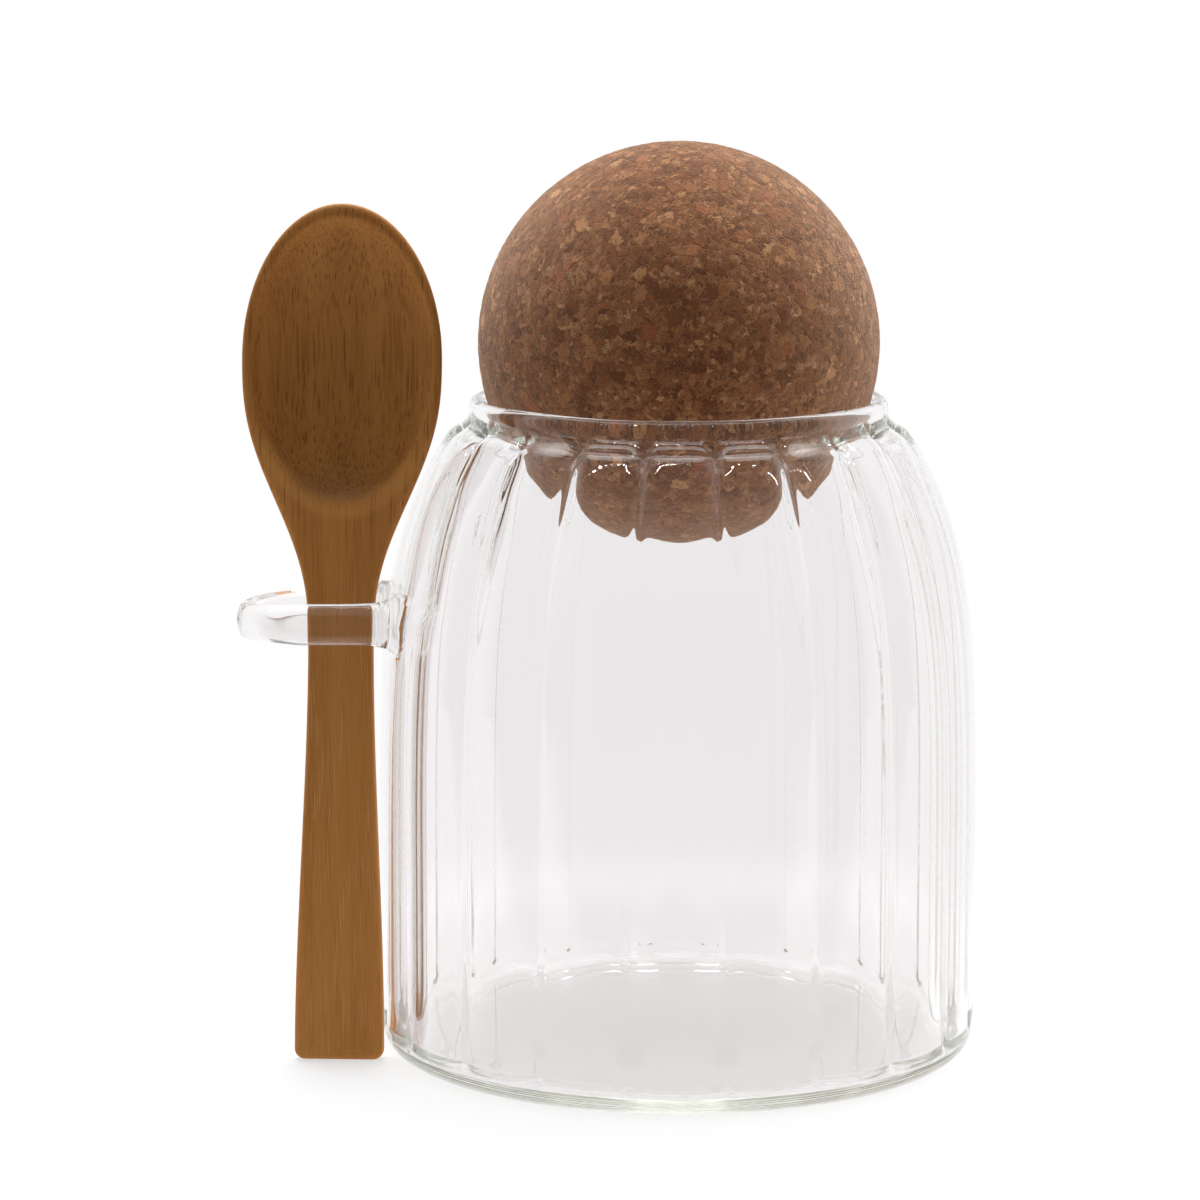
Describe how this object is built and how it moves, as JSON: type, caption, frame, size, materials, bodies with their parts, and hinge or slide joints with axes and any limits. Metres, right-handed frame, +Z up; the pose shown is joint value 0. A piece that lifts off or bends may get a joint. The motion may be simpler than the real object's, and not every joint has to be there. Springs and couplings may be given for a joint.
{
  "type": "ribbed jar with ball stopper and spoon",
  "caption": "Fluted glass storage jar with a cork ball stopper and a bamboo spoon that stands in a glass loop on the jar's side.",
  "frame": {"origin": "middle of the jar's flat underside", "axes": "+Z up the jar's axis; the front of the jar and the hollow of the spoon face -Y; the spoon stands on the -X side"},
  "size_m": [0.1236, 0.1006, 0.1528],
  "materials": {
    "borosilicate_glass": "gloss",
    "agglomerated_cork": "matte",
    "bamboo": "satin"
  },
  "bodies": {
    "jar": {"glass_jar": "borosilicate_glass", "spoon_loop": "borosilicate_glass"},
    "stopper": {"cork_ball": "agglomerated_cork"},
    "spoon": {"bamboo_spoon": "bamboo"}
  },
  "joints": [
    {"name": "lid_lift", "type": "slide", "parent": "jar", "child": "stopper", "axis": [0, 0, 1], "range_m": [0, 0.08]},
    {"name": "spoon_lift", "type": "slide", "parent": "jar", "child": "spoon", "axis": [0, 0, 1], "range_m": [0, 0.095]}
  ]
}
